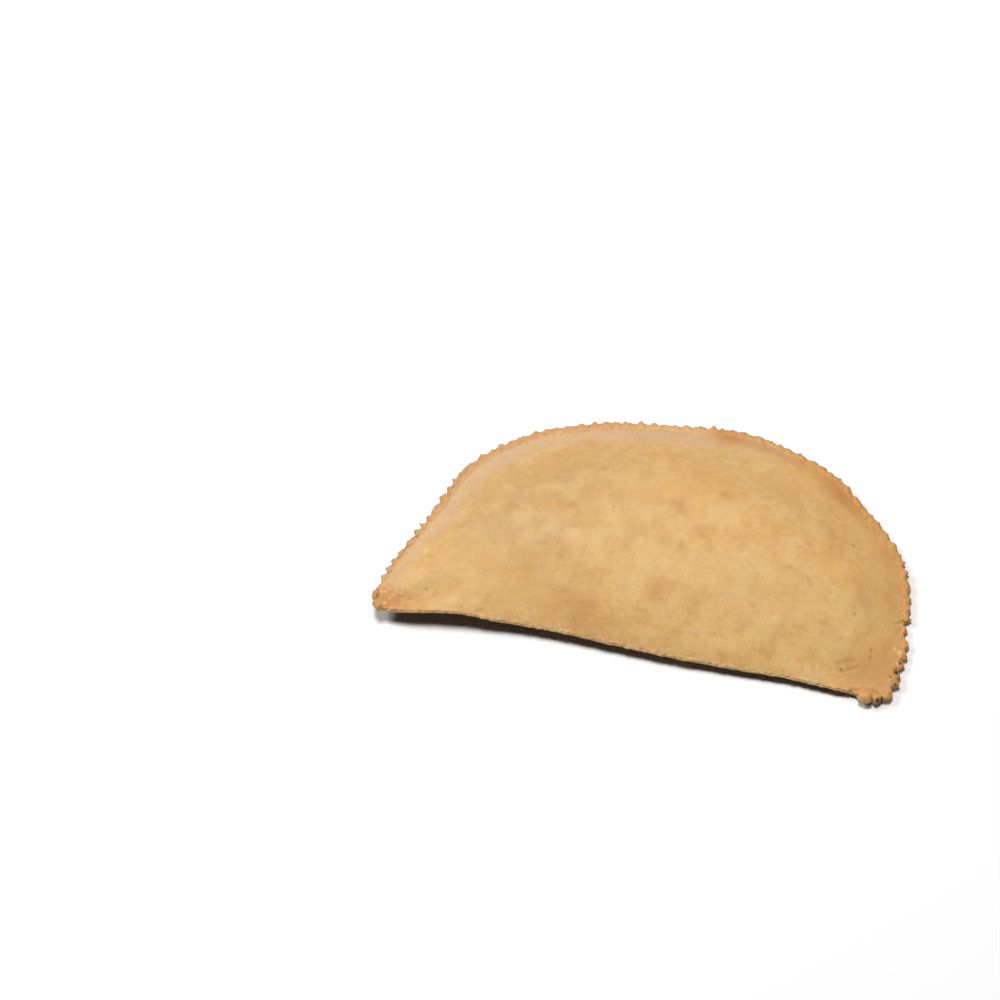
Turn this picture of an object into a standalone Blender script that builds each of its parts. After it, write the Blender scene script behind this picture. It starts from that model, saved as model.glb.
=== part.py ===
"""A panzerotto: a round of dough folded over its filling into a half moon, then sealed and cut.

The fold runs along X at the front, at -Y. The curved side is pressed into a thin strip that a fluted wheel
has cut, so its edge is toothed. The left tip curls up off the surface, and the dough is knobbed at the right
tip. Metres, +Z up. The origin lies under the middle of the pie's box, on the surface that the pie rests on.
"""

import math
from collections import namedtuple
from functools import partial

import bmesh
import bpy
from mathutils import Vector, kdtree

MM = 0.001

# Plan, seen from above, from the middle of the fold. The curved side runs from the right tip to the left.
RIGHT_TIP = (100.0 * MM, 0.0)
LEFT_TIP = (-95.5 * MM, -3.8 * MM)
RIM_PLAN = (
    RIGHT_TIP,
    (106.8 * MM, 1.9 * MM),
    (110.8 * MM, 7.2 * MM),
    (111.5 * MM, 16.0 * MM),
    (112.0 * MM, 27.0 * MM),
    (108.6 * MM, 50.3 * MM),
    (103.3 * MM, 63.5 * MM),
    (94.6 * MM, 73.7 * MM),
    (82.8 * MM, 84.1 * MM),
    (70.0 * MM, 94.2 * MM),
    (43.0 * MM, 104.0 * MM),
    (13.0 * MM, 104.8 * MM),
    (-29.3 * MM, 97.8 * MM),
    (-57.8 * MM, 86.1 * MM),
    (-78.8 * MM, 65.5 * MM),
    (-88.0 * MM, 39.6 * MM),
    (-96.0 * MM, 17.5 * MM),
    (-98.4 * MM, 4.0 * MM),
    (-98.0 * MM, -1.6 * MM),
    LEFT_TIP,
)
WIDEST_X = max(x for x, y in RIM_PLAN)
FOLD_LEFT_Y = 0.5 * MM  # the fold runs straight from here
FOLD_RIGHT_Y = 1.9 * MM  # to here, and it flares out to the tips over these lengths
LEFT_FLARE = 38.0 * MM
RIGHT_FLARE = 5.0 * MM
FOLD_HOLLOWS = (  # shallow hollows in the line of the fold: place along X, reach and depth
    (-25.0 * MM, 22.0 * MM, 1.2 * MM),
    (68.0 * MM, 14.0 * MM, 0.8 * MM),
)
SPINE_Y = 46.0 * MM  # the line along the pie on which the dome is highest
SPINE_SHARE = 0.5  # the spine's length as a share of the pie's

# The edge. Its section is round, and a lift is the gap between it and the surface.
FOLD_RADIUS = 1.3 * MM
RIM_RADIUS = 1.5 * MM
TIP_RADIUS = 1.6 * MM
LEFT_TIP_LENGTH = 38.0 * MM  # from a tip to where the fold has its own thickness and lift
RIGHT_TIP_LENGTH = 12.0 * MM
RIM_TIP_LENGTH = 20.0 * MM  # from a tip to where the rim has its own thickness
RIM_LIFT = 0.6 * MM
FOLD_LEFT_LIFT = 6.8 * MM  # the fold stands clear of the surface, most of all on the left
FOLD_RIGHT_LIFT = 2.6 * MM
RIM_WAVE = 0.4 * MM
RIM_WAVES = 7
LEFT_CURL = 6.0 * MM
LEFT_CURL_REACH = 62.0 * MM

# The teeth that the fluted wheel leaves. Their depth and spacing drift along the rim.
TOOTH_COUNT = 72
TOOTH_DEPTH = 1.8 * MM
BACK_TOOTH_DEPTH = 0.9 * MM  # the wheel cut less deep round the back
BACK_LENGTH = 105.0 * MM  # from a tip to where the teeth are at their shallowest
TIP_LOBE_DEPTH = 1.4 * MM  # the dough bunches up into thicker lobes at the tips
TIP_LOBE_LENGTH = 16.0 * MM
TOOTH_FADE = 5.0 * MM  # how far in from the edge the teeth still show
TOOTH_UNEVENNESS = 0.5
TOOTH_DRIFT = 0.2

# The dome rises from the sealed strip of the rim, and straight from the round of the fold.
CROWN_HEIGHT = 21.5 * MM
CROWN_FALL = 8.0 * MM  # how much lower the crown's line would be above the widest point of the rim
STRIP_WIDTH = 3.6 * MM
BODY_HEIGHT = 8.0 * MM  # the height under the dome, which rim and fold alike come to over the body's reach
BODY_REACH = 30.0 * MM
RIM_REACH = 46.0 * MM
RIM_POWER = 2.0
RIM_FOOT = 0.03
FOLD_START = 0.8 * MM
FOLD_POWER = 1.45
FILLING_BUMP = 0.5 * MM
BELLY_EDGE = 4.0 * MM
BELLY_EDGE_PER_LIFT = 1.1  # the belly flattens out further in where the edge stands higher

# Relief. Along the left and back of the rim a seam shows as a groove, with a ridge of dough inside it.
SEAM_FIRST_TOOTH = 38.0
SEAM_LAST_TOOTH = 71.0
SEAM_FADE = 5.0
GROOVE_PLACE = 3.4 * MM  # in from the edge
GROOVE_WIDTH = 0.8 * MM
GROOVE_DEPTH = 0.6 * MM
RIDGE_PLACE = 5.4 * MM
RIDGE_WIDTH = 1.5 * MM
RIDGE_HEIGHT = 0.5 * MM
KNOB_PLACE = (99.6 * MM, 1.2 * MM)
KNOB_RADIUS = 3.2 * MM
KNOB_HEIGHT = 1.4 * MM

# Mesh: stations round the outline, and rings from the edge inwards.
POINTS_PER_TOOTH = 5
FOLD_STATIONS = 100
CURVE_STEPS = 24
LOW_ANGLE = -68.0
RIM_TOP_ANGLE = 78.0
FOLD_TOP_ANGLE = 68.0
EDGE_SHARES = (0.0, 0.25, 0.5, 0.75, 1.0)
STRIP_RINGS = (2.0 * MM, 4.0 * MM)  # how far in from where the edge's round ends
# Each ring's share of the way from there to the spine, and which of the stations it keeps.
TOP_RINGS = ((0.16, 2), (0.25, 2), (0.36, 2), (0.49, 2), (0.64, 4), (0.78, 4), (0.9, 4))
BELLY_RINGS = ((0.14, 1), (0.32, 2), (0.52, 2), (0.74, 4))

CRUST_COLOUR = (0.73, 0.45, 0.19, 1.0)
CRUST_ROUGHNESS = 0.6

Station = namedtuple("Station", "place normal spine radius lift top_angle tooth turn")


def smooth(t):
    """An even step from 0 to 1."""
    t = min(max(t, 0.0), 1.0)
    return t * t * (3.0 - 2.0 * t)


def mix(a, b, t):
    return a + (b - a) * t


def bell(distance, reach):
    return math.exp(-((distance / reach) ** 2))


def spline_point(p0, p1, p2, p3, t):
    """A point between p1 and p2 on a Catmull-Rom spline."""
    return 0.5 * (
        2.0 * p1
        + (p2 - p0) * t
        + (2.0 * p0 - 5.0 * p1 + 4.0 * p2 - p3) * t * t
        + (3.0 * p1 - 3.0 * p2 + p3 - p0) * t**3
    )


def rim_curve():
    """The curved side without its teeth, as close points and the length up to each."""
    knots = [Vector(p) for p in RIM_PLAN]
    knots = [2.0 * knots[0] - knots[1], *knots, 2.0 * knots[-1] - knots[-2]]
    points = [
        spline_point(*knots[i : i + 4], step / CURVE_STEPS)
        for i in range(len(knots) - 3)
        for step in range(CURVE_STEPS)
    ]
    points.append(knots[-2])
    lengths = [0.0]
    for a, b in zip(points, points[1:]):
        lengths.append(lengths[-1] + (b - a).length)
    return points, lengths


def along(points, lengths, length):
    """The point and the direction of travel at a length along the curve."""
    i = 1
    while i < len(points) - 1 and lengths[i] < length:
        i += 1
    t = (length - lengths[i - 1]) / (lengths[i] - lengths[i - 1])
    return points[i - 1].lerp(points[i], t), (points[i] - points[i - 1]).normalized()


def spine_under(place):
    return Vector((place.x * SPINE_SHARE, SPINE_Y))


def tooth(tip_distance, turn):
    """How far the rim stands out or in. turn counts teeth from the right tip, and each stands out at a whole one."""
    near_tip = 1.0 - smooth(tip_distance / TIP_LOBE_LENGTH)
    depth = mix(TOOTH_DEPTH, BACK_TOOTH_DEPTH, smooth(tip_distance / BACK_LENGTH))
    depth = mix(depth, TIP_LOBE_DEPTH, near_tip)
    uneven = 1.0 + TOOTH_UNEVENNESS * math.sin(1.9 * turn + 0.8) * math.sin(0.53 * turn + 0.2)
    drifted = turn + TOOTH_DRIFT * math.sin(1.3 * turn)
    return 0.5 * depth * uneven * math.cos(math.tau * drifted)


def rim_station(place, heading, tip_distance, turn):
    wave = RIM_WAVE * math.sin(math.tau * RIM_WAVES * turn / TOOTH_COUNT)
    away = smooth(tip_distance / RIM_TIP_LENGTH)
    return Station(
        place=place,
        normal=Vector((heading.y, -heading.x)),
        spine=spine_under(place),
        radius=mix(TIP_RADIUS, RIM_RADIUS, away),
        lift=RIM_LIFT + wave * away,
        top_angle=RIM_TOP_ANGLE,
        tooth=tooth(tip_distance, turn),
        turn=turn,
    )


def fold_y(x):
    """The line of the fold between the tips, nearly straight, with its shallow hollows."""
    share = (x - LEFT_TIP[0]) / (RIGHT_TIP[0] - LEFT_TIP[0])
    hollows = sum(depth * bell(x - place, reach) for place, reach, depth in FOLD_HOLLOWS)
    return mix(FOLD_LEFT_Y, FOLD_RIGHT_Y, share) + hollows


def fold_station(x):
    if x > 0.0:
        (tip_x, tip_y), flare, tip_length = RIGHT_TIP, RIGHT_FLARE, RIGHT_TIP_LENGTH
    else:
        (tip_x, tip_y), flare, tip_length = LEFT_TIP, LEFT_FLARE, LEFT_TIP_LENGTH
    tip_distance = abs(tip_x - x)
    share = (x - LEFT_TIP[0]) / (RIGHT_TIP[0] - LEFT_TIP[0])
    place = Vector((x, mix(tip_y, fold_y(x), smooth(tip_distance / flare))))
    away = smooth(tip_distance / tip_length)
    return Station(
        place=place,
        normal=Vector((0.0, -1.0)),
        spine=spine_under(place),
        radius=mix(TIP_RADIUS, FOLD_RADIUS, away),
        lift=mix(RIM_LIFT, mix(FOLD_LEFT_LIFT, FOLD_RIGHT_LIFT, share), away),
        top_angle=mix(RIM_TOP_ANGLE, FOLD_TOP_ANGLE, away),
        tooth=0.0,
        turn=0.0,
    )


def outline():
    """The stations counterclockwise from the right tip, round the rim and back along the fold."""
    points, lengths = rim_curve()
    count = TOOTH_COUNT * POINTS_PER_TOOTH
    stations = []
    for i in range(count + 1):
        length = lengths[-1] * i / count
        place, heading = along(points, lengths, length)
        tip_distance = min(length, lengths[-1] - length)
        stations.append(rim_station(place, heading, tip_distance, i / POINTS_PER_TOOTH))
    for i in range(1, FOLD_STATIONS):
        stations.append(fold_station(mix(LEFT_TIP[0], RIGHT_TIP[0], i / FOLD_STATIONS)))
    return stations


def inward(station, depth):
    """The plan point that lies that far in from the edge, on the way to the spine. Teeth fade out on the way."""
    way = station.spine - station.place
    fade = max(1.0 - depth / TOOTH_FADE, 0.0)
    point = station.place + way.normalized() * depth
    return point + station.normal * station.tooth * fade


def round_end(station, angle):
    """How far in from the edge its round has come at an angle, and how high it is there."""
    turn = math.radians(angle)
    depth = station.radius * (1.0 - math.cos(turn))
    return depth, station.lift + station.radius * (1.0 + math.sin(turn))


def way_left(station, angle):
    """How far it is from there to the spine."""
    return (station.spine - station.place).length - round_end(station, angle)[0]


def raised(plan, height):
    """The point at a height over the belly. The left tip's curl raises all that is near it."""
    tip_distance = (plan - Vector(LEFT_TIP)).length
    return Vector((plan.x, plan.y, height + LEFT_CURL * (1.0 - smooth(tip_distance / LEFT_CURL_REACH))))


def edge_point(station, share):
    """A point on the edge's round, from underneath at share 0 to where the top begins at share 1."""
    depth, height = round_end(station, mix(LOW_ANGLE, station.top_angle, share))
    plan = inward(station, depth)
    return raised(plan, height + knob(plan) * share)


def swell(share, power, foot=0.0):
    """The rise from an edge to the crown: steep at first, then level. The foot softens its start."""
    softened = 0.5 * (share + math.hypot(share, foot))
    return 1.0 - (1.0 - min(max(softened, 0.0), 1.0)) ** power


def dome(plan, rim_tree):
    """How much of the way from its edge up to the crown the crust has risen."""
    rim_distance = rim_tree.find(plan.to_3d())[2]
    from_rim = swell((rim_distance - STRIP_WIDTH) / RIM_REACH, RIM_POWER, RIM_FOOT)
    start_y = fold_y(plan.x) + FOLD_START
    from_fold = swell((plan.y - start_y) / (SPINE_Y - start_y), FOLD_POWER)
    return from_rim * from_fold


def crown(plan):
    """The height that the dome reaches. The filling pushes it up unevenly."""
    across = math.sin(plan.x / (13.0 * MM) + 1.3) * math.cos(plan.y / (11.0 * MM) - 0.4)
    askew = math.sin((plan.x + 1.7 * plan.y) / (19.0 * MM))
    return CROWN_HEIGHT - CROWN_FALL * (plan.x / WIDEST_X) ** 2 + FILLING_BUMP * (across + askew)


def seam(turn, depth):
    """The groove and the ridge of the seam, between its first and last tooth."""
    strength = smooth((turn - SEAM_FIRST_TOOTH) / SEAM_FADE) * smooth((SEAM_LAST_TOOTH - turn) / SEAM_FADE)
    groove = GROOVE_DEPTH * bell(depth - GROOVE_PLACE, GROOVE_WIDTH)
    ridge = RIDGE_HEIGHT * bell(depth - RIDGE_PLACE, RIDGE_WIDTH)
    return strength * (ridge - groove)


def knob(plan):
    """The dough is bunched into a knob at the right tip."""
    return KNOB_HEIGHT * bell((plan - Vector(KNOB_PLACE)).length, KNOB_RADIUS)


def top_point(station, share, rim_tree):
    start, edge_top = round_end(station, station.top_angle)
    distance = share * way_left(station, station.top_angle)
    plan = inward(station, start + distance)
    base = mix(edge_top, BODY_HEIGHT, smooth(distance / BODY_REACH))
    height = mix(base, crown(plan), dome(plan, rim_tree))
    return raised(plan, height + seam(station.turn, start + distance) + knob(plan))


def belly_point(station, share):
    start, edge_foot = round_end(station, LOW_ANGLE)
    distance = share * way_left(station, LOW_ANGLE)
    plan = inward(station, start + distance)
    width = BELLY_EDGE + BELLY_EDGE_PER_LIFT * station.lift
    return raised(plan, edge_foot * (1.0 - smooth(distance / width)))


def add_ring(bm, points):
    return [bm.verts.new(p) for p in points]


def bridge(bm, outer, inner):
    """Faces between two rings, where the inner ring has as many points as the outer one or half as many."""
    if len(outer) == len(inner):
        for i in range(len(inner)):
            bm.faces.new((outer[i - 1], outer[i], inner[i], inner[i - 1]))
        return
    for i in range(len(inner)):
        before, middle, after = outer[2 * i - 2], outer[2 * i - 1], outer[2 * i]
        bm.faces.new((before, middle, inner[i - 1]))
        bm.faces.new((middle, inner[i], inner[i - 1]))
        bm.faces.new((middle, after, inner[i]))


def add_strip(bm, ring, stations, top):
    """The rings of the sealed strip, at even distances in from the edge. Returns the last one."""
    for distance in STRIP_RINGS:
        inner = add_ring(bm, [top(s, distance / way_left(s, s.top_angle)) for s in stations])
        bridge(bm, ring, inner)
        ring = inner
    return ring


def add_side(bm, ring, stations, point, rings):
    """One side of the pie: rings from the edge inwards, and a cap across the last."""
    for share, every in rings:
        inner = add_ring(bm, [point(s, share) for s in stations[::every]])
        bridge(bm, ring, inner)
        ring = inner
    cap = bm.faces.new(ring)
    bmesh.ops.triangulate(bm, faces=[cap], ngon_method="BEAUTY")


def tree_of(points):
    tree = kdtree.KDTree(len(points))
    for index, point in enumerate(points):
        tree.insert(point.to_3d(), index)
    tree.balance()
    return tree


def crust_mesh():
    stations = outline()
    top = partial(top_point, rim_tree=tree_of(rim_curve()[0]))
    bm = bmesh.new()
    edge_rings = [add_ring(bm, [edge_point(s, share) for s in stations]) for share in EDGE_SHARES]
    for lower, upper in zip(edge_rings, edge_rings[1:]):
        bridge(bm, lower, upper)
    strip_end = add_strip(bm, edge_rings[-1], stations, top)
    add_side(bm, strip_end, stations, top, TOP_RINGS)
    add_side(bm, edge_rings[0], stations, belly_point, BELLY_RINGS)
    bmesh.ops.recalc_face_normals(bm, faces=bm.faces)
    mesh = bpy.data.meshes.new("panzerotto")
    bm.to_mesh(mesh)
    bm.free()
    return mesh


def centre_on_box(mesh):
    """Moves the mesh so that the origin lies under the middle of its box."""
    low = Vector([min(v.co[axis] for v in mesh.vertices) for axis in range(3)])
    high = Vector([max(v.co[axis] for v in mesh.vertices) for axis in range(3)])
    middle = (low + high) / 2.0
    offset = Vector((middle.x, middle.y, low.z))
    for vertex in mesh.vertices:
        vertex.co -= offset


def crust_material():
    material = bpy.data.materials.new("baked_dough")
    material.use_nodes = True
    shader = material.node_tree.nodes["Principled BSDF"]
    shader.inputs["Base Color"].default_value = CRUST_COLOUR
    shader.inputs["Roughness"].default_value = CRUST_ROUGHNESS
    shader.inputs["Metallic"].default_value = 0.0
    return material


def clear_scene():
    for thing in list(bpy.data.objects):
        bpy.data.objects.remove(thing, do_unlink=True)


def build():
    clear_scene()
    mesh = crust_mesh()
    centre_on_box(mesh)
    mesh.materials.append(crust_material())
    mesh.shade_smooth()
    pie = bpy.data.objects.new("panzerotto", mesh)
    bpy.context.scene.collection.objects.link(pie)


build()
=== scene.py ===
"""The looks of a panzerotto: a half moon of baked, filled dough, folded in front, with a toothed, sealed rim.

The crust is one fine mesh on the same plan and sections as the solid that it replaces. The dough's unevenness
is modelled on top: lumps, ragged edges, a crumbly seam, creases, pits and the small lobes of both tips. Where
it is browned, golden, floury or burnt is painted into the mesh, and the material breaks the paint up.

Lengths are in millimetres until the mesh is made. +Z is up, and plan points are (x, y) from the middle of the
fold.
"""

import math
from collections import namedtuple

import bmesh
import bpy
import numpy as np
from mathutils import Matrix, Vector, noise


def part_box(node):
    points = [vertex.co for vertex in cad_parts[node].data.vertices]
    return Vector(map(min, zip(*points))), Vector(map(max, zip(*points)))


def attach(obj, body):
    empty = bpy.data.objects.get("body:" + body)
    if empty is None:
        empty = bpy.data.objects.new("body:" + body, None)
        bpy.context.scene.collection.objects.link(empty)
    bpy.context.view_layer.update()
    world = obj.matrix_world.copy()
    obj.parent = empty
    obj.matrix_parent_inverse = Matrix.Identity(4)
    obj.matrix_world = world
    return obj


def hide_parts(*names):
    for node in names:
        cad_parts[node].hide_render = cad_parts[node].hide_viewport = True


MM = 0.001

# ------------------------------------------------------------------------------------------------
# The form, as in the solid
# ------------------------------------------------------------------------------------------------

# The curved side, counterclockwise from the right tip to the left one.
RIGHT_TIP = (100.0, 0.0)
LEFT_TIP = (-95.5, -3.8)
RIM_PLAN = (
    RIGHT_TIP,
    (106.8, 1.9),
    (110.8, 7.2),
    (111.5, 16.0),
    (112.0, 27.0),
    (108.6, 50.3),
    (103.3, 63.5),
    (94.6, 73.7),
    (82.8, 84.1),
    (70.0, 94.2),
    (43.0, 104.0),
    (13.0, 104.8),
    (-29.3, 97.8),
    (-57.8, 86.1),
    (-78.8, 65.5),
    (-88.0, 39.6),
    (-96.0, 17.5),
    (-98.4, 4.0),
    (-98.0, -1.6),
    LEFT_TIP,
)
WIDEST_X = max(x for x, y in RIM_PLAN)

# The fold's line: its y towards the left and the right, its hollows as x, reach and depth, and the lengths
# beside the tips over which it turns off to them.
FOLD_LEFT_Y = 0.5
FOLD_RIGHT_Y = 1.9
FOLD_HOLLOWS = ((-25.0, 22.0, 1.2), (68.0, 14.0, 0.8))
LEFT_FLARE = 38.0
RIGHT_FLARE = 5.0

# The spine lies under the crown, and all the ways in from the edge lead to it.
SPINE_Y = 46.0
SPINE_SHARE = 0.5  # its length as a share of the pie's

# The edge's section: half its thickness, and the lengths over which it becomes that of a tip.
FOLD_RADIUS = 1.3
RIM_RADIUS = 1.5
TIP_RADIUS = 1.6
LEFT_TIP_LENGTH = 38.0
RIGHT_TIP_LENGTH = 12.0
RIM_TIP_LENGTH = 20.0

# How high the edge lies: the rim waves slightly, the fold hangs over a gap, and the left tip curls up.
RIM_LIFT = 0.6
RIM_WAVE = 0.4
RIM_WAVES = 7
FOLD_LEFT_LIFT = 6.8
FOLD_RIGHT_LIFT = 2.6
LEFT_CURL = 6.0
LEFT_CURL_REACH = 62.0

# The teeth that a fluted wheel cut. They get shallower towards the back, and fade out inwards.
TOOTH_COUNT = 72
TOOTH_DEPTH = 1.8
BACK_TOOTH_DEPTH = 0.9
BACK_LENGTH = 105.0
TIP_LOBE_DEPTH = 1.4
TIP_LOBE_LENGTH = 16.0
TIP_ROUND = 2.5
TOOTH_FADE = 5.0
TOOTH_UNEVENNESS = 0.5
TOOTH_DRIFT = 0.2

# Past the first few teeth from the right tip, the lobes give way to points.
POINTED_FROM_TOOTH = 7.0
POINTED_FADE = 3.0
POINTED_SHARE = 0.8

# Where more of the rim is torn away, near the right tip: x, y, reach and depth.
RIM_NOTCHES = (
    (111.4, 34.4, 1.5, 2.0),
    (112.2, 31.0, 2.2, 1.2),
    (111.6, 14.0, 1.5, 1.0),
    (110.5, 7.6, 1.9, 2.2),
)

# The dome: its crown, which is lower towards both ends and uneven from the filling.
CROWN_HEIGHT = 21.5
CROWN_FALL = 8.0
FILLING_BUMP = 0.5

# How it rises: from the rim past a flat strip, and from the fold at once. A higher power is steeper at first.
STRIP_WIDTH = 3.6
RIM_REACH = 46.0
RIM_POWER = 2.0
RIM_FOOT = 0.03
FOLD_START = 0.8
FOLD_POWER = 1.45

# What it rises from: the edge's top, and a level of its own from some way in.
BODY_HEIGHT = 8.0
BODY_REACH = 30.0

# The width over which the underside comes down from the edge. It grows with the edge's lift.
BELLY_EDGE = 4.0
BELLY_EDGE_PER_LIFT = 1.1

# The seam inside the rim, from one tooth to another: a groove, with a ridge further in.
SEAM_FIRST_TOOTH = 38.0
SEAM_LAST_TOOTH = 71.0
SEAM_FADE = 5.0
GROOVE_PLACE = 3.4
GROOVE_WIDTH = 0.8
GROOVE_DEPTH = 0.6
RIDGE_PLACE = 5.4
RIDGE_WIDTH = 1.5
RIDGE_HEIGHT = 0.5

# The knob that the dough is bunched into at the right tip.
KNOB_PLACE = (99.6, 1.2)
KNOB_RADIUS = 3.2
KNOB_HEIGHT = 1.4

# The mesh: stations round the outline, and rings from the edge inwards. Angles are round the edge's section.
POINTS_PER_TOOTH = 16
FOLD_STATIONS = 448
CURVE_STEPS = 48
EDGE_RINGS = 11
EDGE_LOW_ANGLE = -78.0
RIM_TOP_ANGLE = 78.0
FOLD_TOP_ANGLE = 68.0
TOP_RING_COUNT = 85
TOP_LAST_SHARE = 0.98
BELLY_RING_COUNT = 12
BELLY_LAST_SHARE = 0.8
RING_CROWDING = 1.35  # above 1, the rings crowd towards the edge
HALVE_AT = (0.08, 0.25)  # shares of the way in at which every second station ends
SPINE_POINTS = 150

# ------------------------------------------------------------------------------------------------
# The dough's unevenness
# ------------------------------------------------------------------------------------------------

# One layer of a noise: its height, the size of its features, its octaves and its seed.
Layer = namedtuple("Layer", "height size octaves seed")

LUMPS = (Layer(0.40, 20.0, 1, 1.0), Layer(0.10, 5.0, 2, 2.0), Layer(0.045, 1.9, 2, 3.0))
FOLD_ROUGHNESS = (Layer(0.35, 4.0, 2, 4.0), Layer(0.55, 1.3, 2, 5.0))
RIM_ROUGHNESS = (Layer(0.50, 2.4, 2, 6.0), Layer(0.30, 1.1, 1, 7.0))
SEAM_CRUMBS = (Layer(0.45, 1.5, 2, 8.0), Layer(0.25, 3.5, 1, 9.0))
LEFT_CRUMBS = (Layer(0.35, 1.2, 2, 12.0),)

# Where the roughness of the fold and the rim fades out: a depth from the edge, and the width of the fade.
FOLD_ROUGHNESS_FADE = (0.1, 1.5)
RIM_ROUGHNESS_FADE = (1.0, 4.0)
SEAM_CRUMBS_PLACE = 5.6
SEAM_CRUMBS_WIDTH = 3.0
LEFT_CRUMBS_REACH = 13.0
LEFT_CRUMBS_DEPTH = 0.15

UNDERSIDE_RELIEF = 0.35  # as a share of the relief on top
PUSH_FADE = (6.0, 6.0)  # from which depth, and over which width, the relief turns upright

# How far plan points are shifted before something is drawn on them: a distance, size, octaves and two seeds.
WANDER = ((0.5, 3.0, 1, (10.0, 11.0)),)
WARP = ((2.0, 6.0, 2, (20.0, 21.0)), (0.8, 2.4, 2, (22.0, 23.0)))

# Creases near the right tip: their points in the plan, half their width and their depth.
CREASES = (
    (((110.6, 38.4), (107.8, 35.2), (105.3, 33.8)), 0.5, 0.35),
    (((96.2, 0.4), (96.6, 3.2), (98.6, 4.4), (102.4, 4.2), (104.5, 3.6)), 0.5, 0.55),
    (((103.2, -1.8), (102.6, 1.2)), 0.5, 0.4),
    (((88.0, 8.4), (92.0, 10.2), (95.2, 11.8)), 0.5, 0.22),
    (((86.5, 11.5), (90.5, 12.9), (94.0, 14.6)), 0.5, 0.20),
    (((84.0, 6.0), (88.0, 6.6), (91.5, 8.0)), 0.5, 0.16),
)

# A small mark: its place in the plan, its radius, and how far it stands out. Below 0 it is a hollow.
Mark = namedtuple("Mark", "x y radius height")

BURST_BUBBLES = (
    Mark(109.9, 14.4, 1.30, -1.3),
    Mark(107.9, 11.6, 0.45, -0.5),
    Mark(110.3, 9.0, 0.55, -0.6),
    Mark(110.8, 18.7, 0.75, -0.8),
    Mark(104.4, 1.0, 1.00, -0.5),
    Mark(106.0, 2.2, 0.80, -0.5),
)
CRUMBS = (
    Mark(109.4, 22.7, 0.9, 0.35),
    Mark(110.4, 16.7, 0.8, 0.35),
    Mark(107.6, 23.6, 0.7, 0.35),
    Mark(109.2, 18.0, 0.5, 0.35),
)
TIP_LOBES = (
    Mark(99.4, -0.4, 3.2, 1.1),
    Mark(104.9, 1.0, 1.9, 0.6),
    Mark(94.8, 2.0, 1.7, -0.9),
    Mark(102.7, 0.4, 0.8, -0.6),
    Mark(-98.5, 1.9, 2.1, 1.6),
    Mark(-96.6, -3.0, 2.4, 0.9),
    Mark(-98.6, -0.6, 0.7, -0.5),
)
BLISTER = Mark(-82.5, 23.7, 1.9, 0.35)

# ------------------------------------------------------------------------------------------------
# The baked dough's colours
# ------------------------------------------------------------------------------------------------

DOUGH = (0.612, 0.375, 0.142)
GOLDEN = (0.612, 0.352, 0.106)
# Paler dough, in spots, and a painted highlight: the long band of sheen across the dome.
PALE_AND_HIGHLIGHT = (0.665, 0.438, 0.184)
CREAM = (0.650, 0.431, 0.186)
TAN = (0.556, 0.304, 0.097)
WARM = (0.675, 0.405, 0.130)
# A duller, darker tone. Laid on the upper left and the back of the dome, it is painted shade on the parts
# that face the lamps.
DULL_AND_SHADED = (0.500, 0.307, 0.132)
# Painted light: a lighter tone on the right flank and on the slope by the fold, which face away from the
# lamps.
PAINTED_LIGHT = (0.740, 0.445, 0.162)
FLOURY = (0.560, 0.372, 0.226)
BROWN = (0.455, 0.210, 0.062)
ORANGE = (0.510, 0.225, 0.060)
PURPLE = (0.475, 0.238, 0.112)
TORN_DOUGH_AND_HIGHLIGHT = (0.760, 0.530, 0.270)  # the pale inside of the dough, in crumbs and along the lip; on the lip it is also painted light on its shaded lower half
# The underside: browner from baking, and darker still as painted shade, so that the gap under the fold reads
# as deep shadow.
BAKED_AND_SHADED_UNDERSIDE = (0.110, 0.056, 0.024)
CHAR = (0.020, 0.014, 0.010)

# Noises for the paint: the size of their features, their octaves and their seed.
PATCHES = (2.6, 3, 24.0)
DRIFT = (26.0, 2, 25.0)
CLOUDS = (8.0, 4, 26.0)
FRECKLES = (2.2, 3, 27.0)
GLOW = (5.0, 3, 28.0)
SPECKS = (1.4, 2, 29.0)
SPOTS = (4.0, 2, 30.0)

# A tone where a noise is high, or where it is low if its sign is -1. The tone starts at a limit, grows over a
# width up to its strength, and is weaker by some share in the duller areas, which are painted shade.
Mottle = namedtuple("Mottle", "tone noise sign limit width strength calming")

MOTTLES = (
    Mottle(TAN, CLOUDS, 1, 0.02, 0.55, 0.55, 0.35),
    Mottle(CREAM, CLOUDS, -1, 0.05, 0.55, 0.60, 0.35),
    Mottle(TAN, FRECKLES, 1, 0.10, 0.50, 0.40, 0.35),
    Mottle(CREAM, FRECKLES, -1, 0.15, 0.50, 0.40, 0.35),
    Mottle(WARM, GLOW, 1, 0.05, 0.50, 0.45, 0.80),
    Mottle(BROWN, SPOTS, 1, 0.38, 0.30, 0.30, 0.0),
)

# A blotch: its middle in the plan, half its length and width, the angle of its length, and its strength.
Blotch = namedtuple("Blotch", "x y length width angle strength")

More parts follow.
